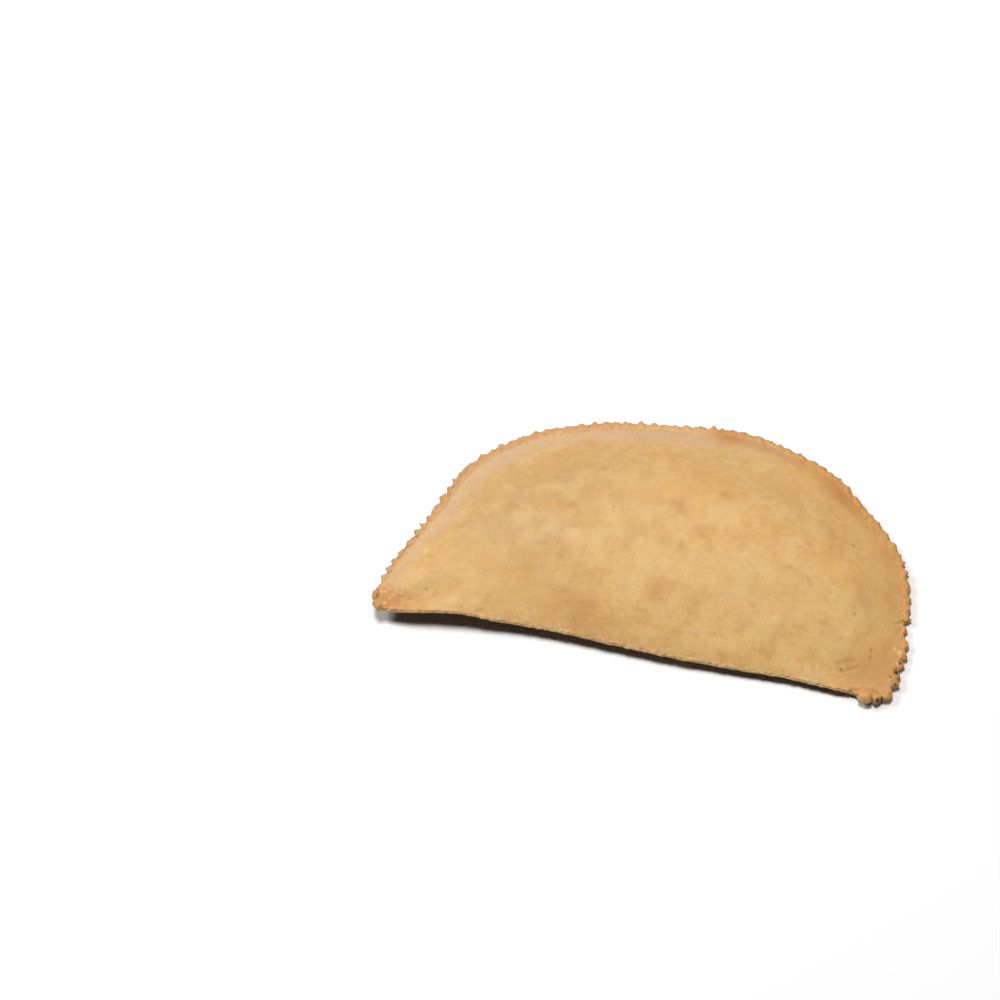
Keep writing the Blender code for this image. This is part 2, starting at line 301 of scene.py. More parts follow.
BROWN_BLOTCHES = (
    Blotch(-37.5, 77.7, 4.5, 3.0, 20, 0.20),
    Blotch(-34.5, 67.7, 3.2, 2.6, 0, 0.30),
    Blotch(17.5, 74.7, 5.5, 2.6, -10, 0.55),
    Blotch(13.0, 59.2, 4.2, 3.2, -10, 0.85),
    Blotch(25.5, 49.7, 3.8, 3.2, 0, 0.70),
    Blotch(31.5, 68.7, 2.6, 1.6, 0, 0.50),
    Blotch(-28.5, 50.7, 3.0, 2.0, 0, 0.70),
    Blotch(-53.0, 46.3, 3.0, 2.5, 0, 0.25),
    Blotch(61.5, 41.7, 4.4, 1.7, -10, 0.60),
    Blotch(82.5, 21.7, 4.0, 3.0, 30, 0.30),
    Blotch(72.5, 66.2, 4.2, 3.8, 0, 0.15),
    Blotch(-15.5, 9.7, 9.0, 8.0, 0, 0.36),
    Blotch(25.5, 100.8, 6.5, 3.2, -10, 0.75),
    Blotch(75.0, 85.0, 7.0, 3.0, -38, 0.30),
    Blotch(108.5, 30.0, 8.0, 3.0, 90, 0.22),
)
ORANGE_BLOTCHES = (
    Blotch(-28.5, 83.7, 3.8, 3.0, 0, 0.55),
    Blotch(-38.5, 21.7, 3.0, 4.4, 0, 0.50),
    Blotch(12.5, 24.2, 4.8, 4.0, 40, 0.65),
    Blotch(-89.5, 0.2, 9.0, 4.0, 0, 0.85),
    Blotch(25.5, 100.8, 9.5, 4.4, -10, 1.00),
    Blotch(66.0, 84.0, 12.0, 7.0, -30, 0.20),
    Blotch(-95.0, 2.0, 6.0, 6.0, 0, 0.50),
    Blotch(78.0, 60.0, 22.0, 14.0, -45, 0.12),
    Blotch(73.7, 86.0, 11.0, 4.5, -38, 1.00),
    Blotch(95.0, 66.0, 9.0, 4.5, -60, 0.45),
    Blotch(103.5, 45.0, 14.0, 6.0, -80, 0.30),
    Blotch(47.5, 5.7, 4.0, 2.5, 20, 0.30),
    Blotch(-15.5, 9.7, 7.0, 5.0, -20, 0.25),
    Blotch(102.0, 13.0, 13.0, 9.0, 50, 0.58),
    Blotch(106.0, 3.0, 4.0, 3.0, 40, 0.35),
)
PURPLE_BLOTCHES = (
    Blotch(7.5, 81.7, 3.2, 1.8, 10, 0.65),
    Blotch(46.0, 97.5, 13.0, 2.4, -17, 0.72),
    Blotch(-15.5, 9.7, 8.0, 6.5, -20, 0.30),
    Blotch(-25.5, 15.7, 6.0, 4.0, 0, 0.35),
    Blotch(91.5, 37.2, 6.0, 2.0, -20, 0.25),
    Blotch(96.0, 57.1, 5.0, 2.0, -50, 0.20),
    Blotch(89.5, 11.7, 4.6, 3.8, 0, 0.15),
    Blotch(102.0, 10.0, 12.0, 9.0, 50, 0.30),
    Blotch(12.5, 24.2, 5.0, 4.2, 40, 0.20),
    Blotch(-4.0, 95.0, 16.0, 4.0, 0, 0.20),
)
PALE_AND_HIGHLIGHT_BLOTCHES = (
    Blotch(-43.5, 34.7, 3.2, 3.0, 0, 0.90),
    Blotch(-23.5, 38.2, 3.2, 3.0, 0, 0.65),
    Blotch(58.5, 23.7, 3.2, 3.0, 0, 0.65),
    # A painted highlight: the band of sheen across the dome, about 30 mm behind the fold.
    Blotch(27.0, 32.0, 34.0, 7.0, 0, 0.30),
    Blotch(-82.5, 23.7, 2.0, 2.0, 0, 0.70),
    Blotch(-82.5, -2.3, 3.0, 1.8, 0, 0.40),
    Blotch(2.0, 6.0, 8.0, 3.5, 0, 0.25),
    Blotch(91.0, 31.0, 7.0, 5.0, 90, 0.30),
)
# Painted shade, in a duller tone: the upper left and the back of the dome, which face the lamps, made darker.
DULL_AND_SHADED_BLOTCHES = (
    Blotch(-30.0, 66.0, 48.0, 22.0, 12, 1.00),
    Blotch(-60.0, 32.0, 24.0, 22.0, 0, 0.75),
    Blotch(45.0, 80.0, 30.0, 12.0, -20, 0.50),
)
# Painted light: the right flank and the slope by the fold, which face away from the lamps, made lighter.
PAINTED_LIGHT_BLOTCHES = (
    Blotch(105.0, 33.0, 28.0, 7.0, 90, 0.85),
    Blotch(75.0, 36.0, 20.0, 14.0, 0, 0.35),
    Blotch(55.0, 8.0, 40.0, 8.0, 0, 0.60),
    Blotch(10.0, 17.0, 75.0, 10.0, 0, 0.45),
)
GOLDEN_BLOTCHES = (
    Blotch(-48.0, 18.7, 18.0, 11.0, -30, 0.75),
    Blotch(-67.5, 9.7, 4.4, 4.2, 0, 0.50),
    Blotch(54.5, 30.7, 4.0, 2.5, 0, 0.95),
    Blotch(63.5, 17.7, 3.5, 2.5, 0, 0.40),
    Blotch(5.0, 62.0, 26.0, 14.0, 0, 0.35),
    Blotch(25.0, 33.0, 28.0, 8.0, 0, 0.45),
)

# Specks of char on the crust. Burst bubbles are charred too, from their middle outwards.
SCORCHED_DOTS = (
    (98.5, 19.7),
    (98.5, 16.7),
    (89.5, 31.7),
    (87.5, 72.7),
    (83.5, 60.7),
    (88.5, 9.7),
    (-78.0, 7.5),
)
SCORCHED_DOT_RADIUS = 0.42
SCORCHED_DOT_STRENGTH = 0.80
BUBBLE_CHAR_SHARE = 0.8  # of a bubble's radius
BUBBLE_CHAR_STRENGTH = 1.3

# The material's noises: the size of their features, their detail and their roughness.
HUE_NOISE = (4.5, 3.0, 0.5)
GRAIN_NOISE = (0.9, 4.0, 0.65)
SPECK_NOISE = (1.3, 2.0, 0.6)
ROUGHNESS_NOISE = (6.0, 2.0, 0.5)
BUMP_NOISE = (0.8, 4.0, 0.6)
NOISE_LIMITS = (0.30, 0.70)  # most of a noise lies between these

# What the noises do: tints that the paint is multiplied by, brown specks, roughness and bumps.
HUE_TINTS = ((0.985, 0.965, 0.925), (1.01, 1.025, 1.06))
GRAIN_TINTS = ((0.945, 0.925, 0.895), (1.047, 1.060, 1.080))
SPECK_LIMITS = (0.66, 0.74)
SPECK_STRENGTH = 0.35
ROUGHNESS = (0.52, 0.68)
SPECULAR = 0.35
BUMP_DISTANCE = 0.12
BUMP_STRENGTH = 0.35

# ------------------------------------------------------------------------------------------------
# Camera, light and floor, in metres and degrees. Azimuth 0 is at -Y, and it turns towards +X.
# ------------------------------------------------------------------------------------------------

CAMERA_AZIMUTH = 22.76
CAMERA_ELEVATION = 64.0
CAMERA_ROLL = -10.0
CAMERA_FIELD = 21.0
CAMERA_TARGET = (-67.39 * MM, 6.10 * MM, 0.0)
CAMERA_DISTANCE = 1.1015

Softbox = namedtuple("Softbox", "name azimuth elevation size power")

SOFTBOXES = (
    Softbox("overhead_light", -150.0, 80.0, 0.4, 22.0),
    Softbox("left_light", -102.0, 45.0, 0.5, 12.0),
    Softbox("right_light", 110.0, 35.0, 0.8, 3.5),
)
SOFTBOX_DISTANCE = 1.6
WORLD_COLOUR = (1.0, 1.0, 1.0)
WORLD_STRENGTH = 0.008

FLOOR_SIZE = 24.0
FLOOR_DROP = 0.0003
FLOOR_COLOUR = (0.88, 0.88, 0.88)
FLOOR_ROUGHNESS = 0.9


# ------------------------------------------------------------------------------------------------
# Curves and noise
# ------------------------------------------------------------------------------------------------


def smooth(t):
    """An even step from 0 to 1."""
    t = np.clip(t, 0.0, 1.0)
    return t * t * (3.0 - 2.0 * t)


def rising(value, start, width):
    """0 up to the start, and 1 from a width past it."""
    return smooth((value - start) / width)


def falling(value, start, width):
    """1 up to the start, and 0 from a width past it."""
    return 1.0 - rising(value, start, width)


def between(value, first, last, fade_in, fade_out):
    """1 between the first and last value, less in a fade after the first and in one before the last."""
    return smooth((value - first) / fade_in) * smooth((last - value) / fade_out)


def bell(distance, reach):
    """1 at distance 0, falling off smoothly on both sides."""
    return np.exp(-((distance / reach) ** 2))


def plateau(distance, reach):
    """Like bell, with a flatter middle and steeper sides."""
    return np.exp(-((distance / reach) ** 4))


def mix(a, b, t):
    """a where t is 0, b where t is 1."""
    return a + (b - a) * t


def noise_at(points, size, octaves, seed):
    """Smooth noise, about -1 to 1, with features of the given size."""
    shift = Vector((seed, 1.7 * seed, 2.3 * seed))
    return np.array([noise.fractal(Vector(p) / size + shift, 1.0, 2.0, octaves) for p in points])


def layers_at(points, layers):
    """The height of layers of noise, added up."""
    return sum(layer.height * noise_at(points, layer.size, layer.octaves, layer.seed) for layer in layers)


def shifted(points, shifts):
    """The points' plan, shifted to and fro, so that what is drawn on it gets uneven outlines."""
    plan = points[:, :2]
    for distance, size, octaves, seeds in shifts:
        plan = plan + distance * np.stack([noise_at(points, size, octaves, seed) for seed in seeds], axis=1)
    return plan


def flat_points(plan):
    """Plan points as points at height 0."""
    return np.column_stack([plan, np.zeros(len(plan))])


def distance_to(plan, place):
    """How far plan points are from a place."""
    return np.hypot(plan[:, 0] - place[0], plan[:, 1] - place[1])


def distance_to_line(plan, line):
    """How far plan points are from a line of straight pieces."""
    nearest = np.full(len(plan), np.inf)
    for a, b in zip(np.array(line), np.array(line)[1:]):
        share = np.clip((plan - a) @ (b - a) / ((b - a) @ (b - a)), 0.0, 1.0)
        nearest = np.minimum(nearest, np.linalg.norm(plan - a - share[:, None] * (b - a), axis=1))
    return nearest


# ------------------------------------------------------------------------------------------------
# The outline
# ------------------------------------------------------------------------------------------------


def rim_curve():
    """The curved side without its teeth, as close points and the length up to each."""
    knots = np.array(RIM_PLAN)
    knots = np.vstack([2.0 * knots[0] - knots[1], knots, 2.0 * knots[-1] - knots[-2]])
    t = np.linspace(0.0, 1.0, CURVE_STEPS, endpoint=False)[:, None]
    pieces = []
    for p0, p1, p2, p3 in zip(knots, knots[1:], knots[2:], knots[3:]):
        bend = (2.0 * p0 - 5.0 * p1 + 4.0 * p2 - p3) * t**2 + (3.0 * p1 - 3.0 * p2 + p3 - p0) * t**3
        pieces.append(0.5 * (2.0 * p1 + (p2 - p0) * t + bend))
    points = np.vstack([*pieces, knots[-2]])
    steps = np.linalg.norm(np.diff(points, axis=0), axis=1)
    return points, np.concatenate([[0.0], np.cumsum(steps)])


def fold_y(x):
    """The line of the fold between the tips, nearly straight, with its shallow hollows."""
    straight = mix(FOLD_LEFT_Y, FOLD_RIGHT_Y, (x - LEFT_TIP[0]) / (RIGHT_TIP[0] - LEFT_TIP[0]))
    return straight + sum(depth * bell(x - place, reach) for place, reach, depth in FOLD_HOLLOWS)


def teeth(turn, tip_distance):
    """How far each station of the rim stands out or in. There are lobes near the right tip, then points."""
    near_tip = falling(tip_distance, 0.0, TIP_LOBE_LENGTH)
    depth = mix(TOOTH_DEPTH, BACK_TOOTH_DEPTH, smooth(tip_distance / BACK_LENGTH))
    depth = mix(depth, TIP_LOBE_DEPTH, near_tip)
    uneven = 1.0 + TOOTH_UNEVENNESS * np.sin(1.9 * turn + 0.8) * np.sin(0.53 * turn + 0.2)
    drifted = turn + TOOTH_DRIFT * np.sin(1.3 * turn)
    lobe = 2.0 * np.abs(np.cos(math.pi * drifted)) ** 1.1 - 1.0
    point = 1.0 - 2.0 * np.abs(np.sin(math.pi * drifted)) ** 1.1
    profile = mix(lobe, point, rising(turn, POINTED_FROM_TOOTH, POINTED_FADE) * POINTED_SHARE)
    return 0.5 * depth * uneven * profile * smooth(tip_distance / TIP_ROUND)


def notches(plan):
    """How much of the rim is torn away at plan points."""
    return sum(depth * bell(distance_to(plan, (x, y)), reach) for x, y, reach, depth in RIM_NOTCHES)


class Outline:
    """The stations, counterclockwise from the right tip, round the rim and back along the fold.

    All are arrays with a row for each station: its place, the edge's normal, radius and lift, how far its
    tooth stands out, and the way and span to the spine. Its turn counts the teeth, and is -1 on the fold.
    """

    def __init__(self):
        points, lengths = rim_curve()
        count = TOOTH_COUNT * POINTS_PER_TOOTH
        length = np.linspace(0.0, lengths[-1], count + 1)
        rim = np.stack([np.interp(length, lengths, points[:, axis]) for axis in (0, 1)], axis=1)
        heading = np.gradient(points, axis=0)
        heading = np.stack([np.interp(length, lengths, heading[:, axis]) for axis in (0, 1)], axis=1)
        heading /= np.linalg.norm(heading, axis=1)[:, None]
        fold_x = mix(LEFT_TIP[0], RIGHT_TIP[0], np.arange(1, FOLD_STATIONS) / FOLD_STATIONS)
        self.rim_count = count + 1
        self.turn = np.concatenate([length / lengths[-1] * TOOTH_COUNT, np.full(len(fold_x), -1.0)])
        self.add_rim(rim, heading, np.minimum(length, lengths[-1] - length))
        self.add_fold(fold_x)
        spine = np.stack([self.place[:, 0] * SPINE_SHARE, np.full(len(self.place), SPINE_Y)], axis=1)
        self.way = spine - self.place
        self.span = np.linalg.norm(self.way, axis=1)
        self.way /= self.span[:, None]

    def add_rim(self, rim, heading, tip_distance):
        away = smooth(tip_distance / RIM_TIP_LENGTH)
        turn = self.turn[: self.rim_count]
        wave = RIM_WAVE * np.sin(math.tau * RIM_WAVES * turn / TOOTH_COUNT)
        self.place = rim
        self.normal = np.stack([heading[:, 1], -heading[:, 0]], axis=1)
        self.radius = mix(TIP_RADIUS, RIM_RADIUS, away)
        self.lift = RIM_LIFT + wave * away
        self.top_angle = np.full(len(rim), RIM_TOP_ANGLE)
        self.tooth = teeth(turn, tip_distance) - notches(rim)

    def add_fold(self, x):
        right = x > 0.0
        tip_x = np.where(right, RIGHT_TIP[0], LEFT_TIP[0])
        tip_y = np.where(right, RIGHT_TIP[1], LEFT_TIP[1])
        flare = np.where(right, RIGHT_FLARE, LEFT_FLARE)
        tip_length = np.where(right, RIGHT_TIP_LENGTH, LEFT_TIP_LENGTH)
        tip_distance = np.abs(tip_x - x)
        share = (x - LEFT_TIP[0]) / (RIGHT_TIP[0] - LEFT_TIP[0])
        y = mix(tip_y, fold_y(x), smooth(tip_distance / flare))
        away = smooth(tip_distance / tip_length)
        lift = mix(RIM_LIFT, mix(FOLD_LEFT_LIFT, FOLD_RIGHT_LIFT, share), away)
        self.place = np.vstack([self.place, np.stack([x, y], axis=1)])
        self.normal = np.vstack([self.normal, np.tile((0.0, -1.0), (len(x), 1))])
        self.radius = np.concatenate([self.radius, mix(TIP_RADIUS, FOLD_RADIUS, away)])
        self.lift = np.concatenate([self.lift, lift])
        self.top_angle = np.concatenate([self.top_angle, mix(RIM_TOP_ANGLE, FOLD_TOP_ANGLE, away)])
        self.tooth = np.concatenate([self.tooth, np.zeros(len(x))])

    def inward(self, distance, every=1):
        """Plan points a distance in from the edge, on the way to the spine. Teeth fade out on the way."""
        pick = slice(None, None, every)
        fade = np.clip(1.0 - distance / TOOTH_FADE, 0.0, 1.0)
        point = self.place[pick] + self.way[pick] * distance[:, None]
        return point + self.normal[pick] * (self.tooth[pick] * fade)[:, None]

    def rim_distance(self, plan):
        """How far plan points are from the curved side without its teeth."""
        rim = self.place[: self.rim_count]
        return np.array([np.hypot(*(rim - point).T).min() for point in plan])


# ------------------------------------------------------------------------------------------------
# The sections: plan points, heights and depths from the edge, ring by ring
# ------------------------------------------------------------------------------------------------


def left_curl(plan):
    """How far the curl of the left tip raises all that is near it."""
    return LEFT_CURL * falling(np.linalg.norm(plan - np.array(LEFT_TIP), axis=1), 0.0, LEFT_CURL_REACH)


def knob(plan):
    """How far the knob at the right tip raises the dough."""
    return KNOB_HEIGHT * bell(np.linalg.norm(plan - np.array(KNOB_PLACE), axis=1), KNOB_RADIUS)


def seam_zone(turn):
    """Where the seam shows along the rim, from 0 to 1."""
    return between(turn, SEAM_FIRST_TOOTH, SEAM_LAST_TOOTH, SEAM_FADE, SEAM_FADE)


def seam(turn, depth):
    """The height of the seam: a groove with a ridge inside it."""
    groove = GROOVE_DEPTH * bell(depth - GROOVE_PLACE, GROOVE_WIDTH)
    ridge = RIDGE_HEIGHT * bell(depth - RIDGE_PLACE, RIDGE_WIDTH)
    return seam_zone(turn) * (ridge - groove)


def swell(share, power, foot=0.0):
    """The rise from an edge to the crown: steep at first, then level. The foot softens its start."""
    softened = 0.5 * (share + np.hypot(share, foot))
    return 1.0 - (1.0 - np.clip(softened, 0.0, 1.0)) ** power


def dome(outline, plan):
    """How much of the way from its edge up to the crown the crust has risen at plan points."""
    from_rim = swell((outline.rim_distance(plan) - STRIP_WIDTH) / RIM_REACH, RIM_POWER, RIM_FOOT)
    start_y = fold_y(plan[:, 0]) + FOLD_START
    from_fold = swell((plan[:, 1] - start_y) / (SPINE_Y - start_y), FOLD_POWER)
    return from_rim * from_fold


def crown(plan):
    """The height that the dome reaches. The filling pushes it up unevenly."""
    across = np.sin(plan[:, 0] / 13.0 + 1.3) * np.cos(plan[:, 1] / 11.0 - 0.4)
    askew = np.sin((plan[:, 0] + 1.7 * plan[:, 1]) / 19.0)
    return CROWN_HEIGHT - CROWN_FALL * (plan[:, 0] / WIDEST_X) ** 2 + FILLING_BUMP * (across + askew)


def edge_ring(outline, share):
    """A ring round the edge's section, from underneath at share 0 to where the top begins at share 1."""
    angle = np.radians(mix(EDGE_LOW_ANGLE, outline.top_angle, share))
    depth = outline.radius * (1.0 - np.cos(angle))
    plan = outline.inward(depth)
    height = outline.lift + outline.radius * (1.0 + np.sin(angle)) + knob(plan) * share
    return plan, height + left_curl(plan), depth


def ring_plan(outline, angle, share, every):
    """Plan points a share of the way from the edge's end, at the given angle, to the spine.

    Also returns their depths, from the edge and from the edge's end.
    """
    pick = slice(None, None, every)
    start = outline.radius[pick] * (1.0 - np.cos(np.radians(angle)))
    depth = mix(start, outline.span[pick], share)
    return outline.inward(depth, every), depth, depth - start


def top_ring(outline, share, every):
    """A ring on the top, a share of the way in from the edge's upper end."""
    pick = slice(None, None, every)
    angle = outline.top_angle[pick]
    plan, depth, distance = ring_plan(outline, angle, share, every)
    edge_top = outline.lift[pick] + outline.radius[pick] * (1.0 + np.sin(np.radians(angle)))
    base = mix(edge_top, BODY_HEIGHT, smooth(distance / BODY_REACH))
    height = mix(base, crown(plan), dome(outline, plan))
    return plan, height + seam(outline.turn[pick], depth) + knob(plan) + left_curl(plan), depth


def spine_height(outline, plan):
    return mix(BODY_HEIGHT, crown(plan), dome(outline, plan)) + left_curl(plan)


def belly_ring(outline, share, every):
    """A ring underneath, a share of the way in from the edge's lower end."""
    pick = slice(None, None, every)
    plan, depth, distance = ring_plan(outline, EDGE_LOW_ANGLE, share, every)
    lift = outline.lift[pick] + outline.radius[pick] * (1.0 + math.sin(math.radians(EDGE_LOW_ANGLE)))
    width = BELLY_EDGE + BELLY_EDGE_PER_LIFT * outline.lift[pick]
    return plan, lift * (1.0 - smooth(distance / width)) + left_curl(plan), depth


def ring_shares(count, last):
    """Shares of the way in, and which of the stations each ring keeps."""
    shares = last * (np.arange(1, count + 1) / count) ** RING_CROWDING
    return [(share, 2 ** sum(share > limit for limit in HALVE_AT)) for share in shares]


# ------------------------------------------------------------------------------------------------
# The surface
# ------------------------------------------------------------------------------------------------


class Surface:
    """The points and faces of the crust, with what the relief and the colours need to know of each point.

    That is its depth from the edge, its turn as in the outline, and its side, from -1 underneath to 1 on top.
    """

    def __init__(self):
        self.points, self.depths, self.turns, self.sides, self.faces = [], [], [], [], []
        self.count = 0

    def add_points(self, plan, height, depth, turn, side):
        """Adds points and returns their indices."""
        indices = np.arange(self.count, self.count + len(plan))
        self.points.append(np.column_stack([plan, height]))
        self.depths.append(depth)
        self.turns.append(turn)
        self.sides.append(np.full(len(plan), float(side)))
        self.count += len(plan)
        return indices

    def bridge(self, outer, inner):
        """Faces between two rings. The inner one has as many points as the outer one, or half as many."""
        if len(outer) == len(inner):
            self.faces += zip(np.roll(outer, 1), outer, inner, np.roll(inner, 1))
            return
        after = outer[::2]
        middle = np.roll(outer, 1)[::2]
        before = np.roll(outer, 2)[::2]
        previous = np.roll(inner, 1)
        self.faces += zip(before, middle, previous)
        self.faces += zip(middle, inner, previous)
        self.faces += zip(middle, after, inner)

    def add_edge(self, outline):
        """Rings round the edge's section. Returns the lowest and the highest."""
        rings = []
        for share in np.linspace(0.0, 1.0, EDGE_RINGS):
            rings.append(self.add_points(*edge_ring(outline, share), outline.turn, mix(-1.0, 1.0, share)))
        for lower, upper in zip(rings, rings[1:]):
            self.bridge(lower, upper)
        return rings[0], rings[-1]

    def add_side(self, outline, outer, ring, shares, side):
        """Rings from the edge inwards. Returns the last one."""
        for share, every in shares:
            inner = self.add_points(*ring(outline, share, every), outline.turn[::every], side)
            self.bridge(outer, inner)
            outer = inner
        return outer

    def close_on_spine(self, outline, outer):
        """Joins the last ring on top to points along the spine, each of the ring's points to the nearest."""
        x, y = self.points[-1][:, 0], self.points[-1][:, 1]
        right, left = np.argmax(x), np.argmin(x)
        behind = np.arange(left, right - 1, -1)
        before = np.append(np.arange(left, len(x)), np.arange(right + 1))
        spine_x = np.linspace(x[left], x[right], SPINE_POINTS + 2)[1:-1]
        spine_y = np.mean([np.interp(spine_x, x[chain], y[chain]) for chain in (behind, before)], axis=0)
        plan = np.stack([spine_x, spine_y], axis=1)
        depth, turn = np.full(SPINE_POINTS, SPINE_Y), np.full(SPINE_POINTS, -1.0)
        spine = self.add_points(plan, spine_height(outline, plan), depth, turn, 1)
        share = (x - spine_x[0]) / (spine_x[-1] - spine_x[0])
        nearest = np.rint(np.clip(share, 0.0, 1.0) * (SPINE_POINTS - 1)).astype(int)
        for i in range(len(outer)):
            a, b = outer[i - 1], outer[i]
            start, end = nearest[i - 1], nearest[i]
            self.faces.append((a, b, spine[start]))
            step = 1 if end > start else -1
            for k in range(start, end, step):
                self.faces.append((b, spine[k + step], spine[k]))

    def finish(self):
        """Joins what was added ring by ring into one array each."""
        self.points = np.vstack(self.points)
        self.depths, self.turns, self.sides = map(np.concatenate, (self.depths, self.turns, self.sides))


def crust_surface():
    outline = Outline()
    surface = Surface()
    lowest, highest = surface.add_edge(outline)
    last = surface.add_side(outline, highest, top_ring, ring_shares(TOP_RING_COUNT, TOP_LAST_SHARE), 1)
    surface.close_on_spine(outline, last)
    last = surface.add_side(outline, lowest, belly_ring, ring_shares(BELLY_RING_COUNT, BELLY_LAST_SHARE), -1)
    surface.faces.append(tuple(last))
    surface.finish()
    return surface


def on_fold(surface):
    """1 where the nearest edge is the fold, 0 by the rim."""
    return (surface.turns < 0.0).astype(float)


# ------------------------------------------------------------------------------------------------
# Relief: how far the crust stands out from its form
# ------------------------------------------------------------------------------------------------


def ragged_edges(surface):
    """The fold's lip is rough where the dough is torn, and the teeth where it was cut."""
    fold = layers_at(surface.points, FOLD_ROUGHNESS) * falling(surface.depths, *FOLD_ROUGHNESS_FADE)
    rim = layers_at(surface.points, RIM_ROUGHNESS) * falling(surface.depths, *RIM_ROUGHNESS_FADE)
    return (surface.sides > -0.99) * mix(rim, fold, on_fold(surface))


def crumbly_seam(surface):
    """Crumbs on the ridge of the seam."""
    ridge = bell(surface.depths - SEAM_CRUMBS_PLACE, SEAM_CRUMBS_WIDTH) * (surface.sides > 0.0)
    return ridge * seam_zone(surface.turns) * layers_at(surface.points, SEAM_CRUMBS)


def left_crumbs(plan):
    """How crumbly the crust is near the left tip, from 0 to 1."""
    return bell(distance_to(plan, LEFT_TIP), LEFT_CRUMBS_REACH)


def crease_depths(plan):
    """How deep each crease is at plan points."""
    wandering = shifted(flat_points(plan), WANDER)
    return [depth * bell(distance_to_line(wandering, line), width) for line, width, depth in CREASES]


def small_marks(plan):
    """Creases, burst bubbles, crumbs and lobes near the tips, and the blister at the left."""
    height = -sum(crease_depths(plan))
    for mark in (*BURST_BUBBLES, *CRUMBS):
        height += mark.height * bell(distance_to(plan, mark), mark.radius)
    for mark in (*TIP_LOBES, BLISTER):
        height += mark.height * plateau(distance_to(plan, mark), mark.radius)
    return height + left_crumbs(plan) * (layers_at(flat_points(plan), LEFT_CRUMBS) - LEFT_CRUMBS_DEPTH)


def relief(surface):
    """How far each point is pushed out."""
    upper = rising(surface.sides, -0.6, 1.0)
    everywhere = layers_at(surface.points, LUMPS) + ragged_edges(surface)
    above = crumbly_seam(surface) + small_marks(surface.points[:, :2])
    return mix(UNDERSIDE_RELIEF, 1.0, upper) * everywhere + upper * above


def push_directions(mesh, surface):
    """Along the normals near the edge. Further in, up or down, so that close points keep their order."""
    normals = np.empty(3 * len(mesh.vertices))
    mesh.vertex_normals.foreach_get("vector", normals)
    straight = np.outer(surface.sides, (0.0, 0.0, 1.0))
    return mix(normals.reshape(-1, 3), straight, rising(surface.depths, *PUSH_FADE)[:, None])


# ------------------------------------------------------------------------------------------------
# Paint: tones, each with its strength at every point of the crust, laid over one another
# ------------------------------------------------------------------------------------------------


def blotches_at(plan, blotches):
    """How strong a set of blotches is at plan points, from 0 to 1."""
    total = np.zeros(len(plan))
    for blotch in blotches:
        turn = math.radians(blotch.angle)
        right, up = plan[:, 0] - blotch.x, plan[:, 1] - blotch.y
        along = (right * math.cos(turn) + up * math.sin(turn)) / blotch.length
        across = (up * math.cos(turn) - right * math.sin(turn)) / blotch.width
        total += blotch.strength * np.exp(-(along**2 + across**2))
    return np.clip(total, 0.0, 1.0)


def mottling(points, dull_and_shaded):
    """The mottled tones, weaker where the crust is duller and painted darker as shade."""
    fields = {field: noise_at(points, *field) for field in (CLOUDS, FRECKLES, GLOW, SPOTS)}
    for mottle in MOTTLES:
        grown = rising(mottle.sign * fields[mottle.noise], mottle.limit, mottle.width)
        yield mottle.tone, mottle.strength * grown * (1.0 - mottle.calming * dull_and_shaded)


def crust_tones(points, warped):
    """The broad areas of the crust, painted shade and light among them, its mottling, and its golden and pale
    spots, one a painted highlight.
    """
    dull_and_shaded = blotches_at(warped, DULL_AND_SHADED_BLOTCHES)
    return (
        (GOLDEN, np.clip(0.35 + 0.8 * noise_at(points, *DRIFT), 0.0, 1.0)),
        (DULL_AND_SHADED, dull_and_shaded),
        (PAINTED_LIGHT, blotches_at(warped, PAINTED_LIGHT_BLOTCHES)),
        *mottling(points, dull_and_shaded),
        (GOLDEN, blotches_at(warped, GOLDEN_BLOTCHES)),
        (PALE_AND_HIGHLIGHT, blotches_at(warped, PALE_AND_HIGHLIGHT_BLOTCHES)),
    )


def band_tones(surface, patchy):
    """The floury back, the band along the fold, and the flank at the right: browned, with painted shade on
    its flat strip and painted light on the slope inside it.
    """
    depths, turns = surface.depths, surface.turns
    rim = 1.0 - on_fold(surface)
    back = rising(turns, 26.0, 8.0) * rim
    floury = back * bell(depths - 7.0, 6.0) * mix(0.45, 1.0, patchy)
    fold_band = on_fold(surface) * falling(depths, 1.0, 7.0)
    flank = rim * between(turns, 0.0, 34.0, 3.0, 10.0)
    return (
        (FLOURY, 0.90 * floury),
        (FLOURY, 0.45 * fold_band * patchy),
        (WARM, 0.35 * fold_band * patchy),
        (ORANGE, 0.36 * fold_band * (1.0 - patchy)),
        # Painted light on the flank's slope, which faces away from the lamps.
        (PAINTED_LIGHT, 0.40 * flank * bell(depths - 10.0, 6.0)),
        (ORANGE, 0.30 * flank * falling(depths, 0.0, 17.0)),
        # Painted shade on the flank's flat strip, which catches more light than the slope inside it.
        (BROWN, 0.40 * flank * falling(depths, 2.5, 2.5)),
    )


def browned_tones(warped):
    return (
        (BROWN, 0.85 * blotches_at(warped, BROWN_BLOTCHES)),
        (ORANGE, 0.9 * blotches_at(warped, ORANGE_BLOTCHES)),
        (PURPLE, 0.9 * blotches_at(warped, PURPLE_BLOTCHES)),
    )


